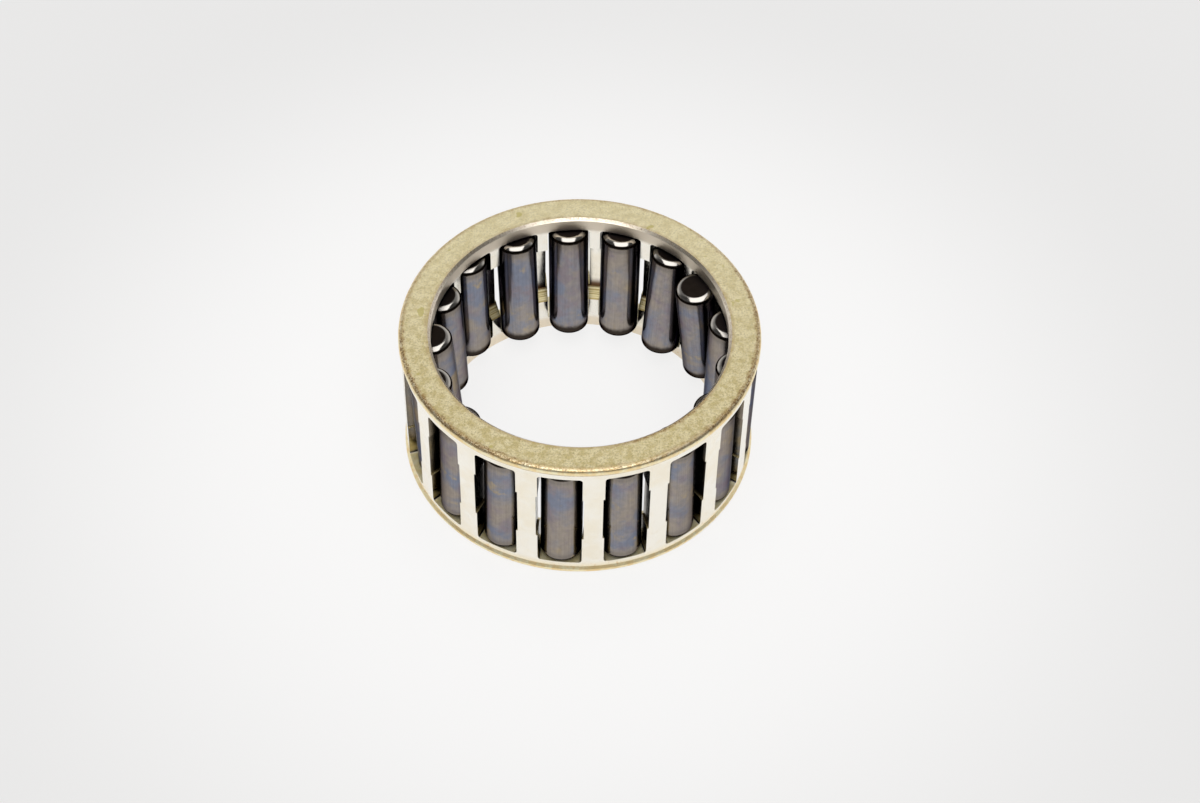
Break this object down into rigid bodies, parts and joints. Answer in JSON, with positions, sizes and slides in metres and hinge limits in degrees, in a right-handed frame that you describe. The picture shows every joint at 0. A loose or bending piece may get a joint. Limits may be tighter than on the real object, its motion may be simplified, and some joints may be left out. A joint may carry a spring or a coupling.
{
  "type": "needle roller and cage bearing",
  "caption": "Needle roller and cage assembly: a one-piece silver-plated ring cage that holds loose steel rollers between a shaft and a housing bore.",
  "frame": {"origin": "centre of the lower end face, on the bearing axis", "axes": "+Z along the bearing axis, from the face it stands on towards the upper face; -Y is the side towards which the loose rollers' feet have slid"},
  "size_m": [0.0434, 0.0434, 0.02],
  "materials": {
    "cage_plating": "satin silver plate on steel, aged to a pale champagne, with copper-brown stains at the edges",
    "roller_steel": "ground bearing steel with blue, straw and purple-grey heat tints"
  },
  "bodies": {
    "cage": {"cage": "cage_plating"},
    "roller_01": {"roller_01": "roller_steel"},
    "roller_02": {"roller_02": "roller_steel"},
    "roller_03": {"roller_03": "roller_steel"},
    "roller_04": {"roller_04": "roller_steel"},
    "roller_05": {"roller_05": "roller_steel"},
    "roller_06": {"roller_06": "roller_steel"},
    "roller_07": {"roller_07": "roller_steel"},
    "roller_08": {"roller_08": "roller_steel"},
    "roller_09": {"roller_09": "roller_steel"},
    "roller_10": {"roller_10": "roller_steel"},
    "roller_11": {"roller_11": "roller_steel"},
    "roller_12": {"roller_12": "roller_steel"},
    "roller_13": {"roller_13": "roller_steel"},
    "roller_14": {"roller_14": "roller_steel"},
    "roller_15": {"roller_15": "roller_steel"},
    "roller_16": {"roller_16": "roller_steel"},
    "roller_17": {"roller_17": "roller_steel"}
  },
  "joints": [
    {"name": "roller_01_spin", "type": "hinge", "parent": "cage", "child": "roller_01", "pos_m": [-0.00184, -0.01886, 0.00991], "axis": [0.0034, 0.0353, 0.9994], "continuous": true},
    {"name": "roller_02_spin", "type": "hinge", "parent": "cage", "child": "roller_02", "pos_m": [0.00511, -0.01829, 0.00991], "axis": [-0.0095, 0.0341, 0.9994], "continuous": true},
    {"name": "roller_03_spin", "type": "hinge", "parent": "cage", "child": "roller_03", "pos_m": [0.01137, -0.01521, 0.00991], "axis": [-0.0208, 0.0279, 0.9994], "continuous": true},
    {"name": "roller_04_spin", "type": "hinge", "parent": "cage", "child": "roller_04", "pos_m": [0.01603, -0.01003, 0.00987], "axis": [-0.0107, 0.0067, 0.9999], "continuous": true},
    {"name": "roller_05_spin", "type": "hinge", "parent": "cage", "child": "roller_05", "pos_m": [0.01869, -0.00361, 0.00986], "axis": [0.0045, -0.0034, 1], "continuous": true},
    {"name": "roller_06_spin", "type": "hinge", "parent": "cage", "child": "roller_06", "pos_m": [0.01811, 0.00323, 0.00986], "axis": [0.0007, -0.0076, 1], "continuous": true},
    {"name": "roller_07_spin", "type": "hinge", "parent": "cage", "child": "roller_07", "pos_m": [0.01488, 0.00914, 0.00999], "axis": [-0.1054, -0.0423, 0.9935], "continuous": true},
    {"name": "roller_08_spin", "type": "hinge", "parent": "cage", "child": "roller_08", "pos_m": [0.01082, 0.01395, 0.00999], "axis": [0.0594, 0.0852, 0.9946], "continuous": true},
    {"name": "roller_09_spin", "type": "hinge", "parent": "cage", "child": "roller_09", "pos_m": [0.00497, 0.01693, 0.00998], "axis": [0.0069, 0.0988, 0.9951], "continuous": true},
    {"name": "roller_10_spin", "type": "hinge", "parent": "cage", "child": "roller_10", "pos_m": [-0.00153, 0.01739, 0.01], "axis": [-0.0104, 0.1179, 0.993], "continuous": true},
    {"name": "roller_11_spin", "type": "hinge", "parent": "cage", "child": "roller_11", "pos_m": [-0.00792, 0.01594, 0.00998], "axis": [-0.0302, 0.0959, 0.9949], "continuous": true},
    {"name": "roller_12_spin", "type": "hinge", "parent": "cage", "child": "roller_12", "pos_m": [-0.01402, 0.01286, 0.0099], "axis": [-0.016, 0.0293, 0.9994], "continuous": true},
    {"name": "roller_13_spin", "type": "hinge", "parent": "cage", "child": "roller_13", "pos_m": [-0.01674, 0.00658, 0.00992], "axis": [-0.0317, 0.0301, 0.999], "continuous": true},
    {"name": "roller_14_spin", "type": "hinge", "parent": "cage", "child": "roller_14", "pos_m": [-0.01731, 0.00012, 0.00995], "axis": [-0.0708, 0.0124, 0.9974], "continuous": true},
    {"name": "roller_15_spin", "type": "hinge", "parent": "cage", "child": "roller_15", "pos_m": [-0.01733, -0.00662, 0.00989], "axis": [-0.0231, -0.0088, 0.9997], "continuous": true},
    {"name": "roller_16_spin", "type": "hinge", "parent": "cage", "child": "roller_16", "pos_m": [-0.01399, -0.01263, 0.00989], "axis": [0.0183, 0.0165, 0.9997], "continuous": true},
    {"name": "roller_17_spin", "type": "hinge", "parent": "cage", "child": "roller_17", "pos_m": [-0.00854, -0.01695, 0.0099], "axis": [0.014, 0.0277, 0.9995], "continuous": true}
  ]
}
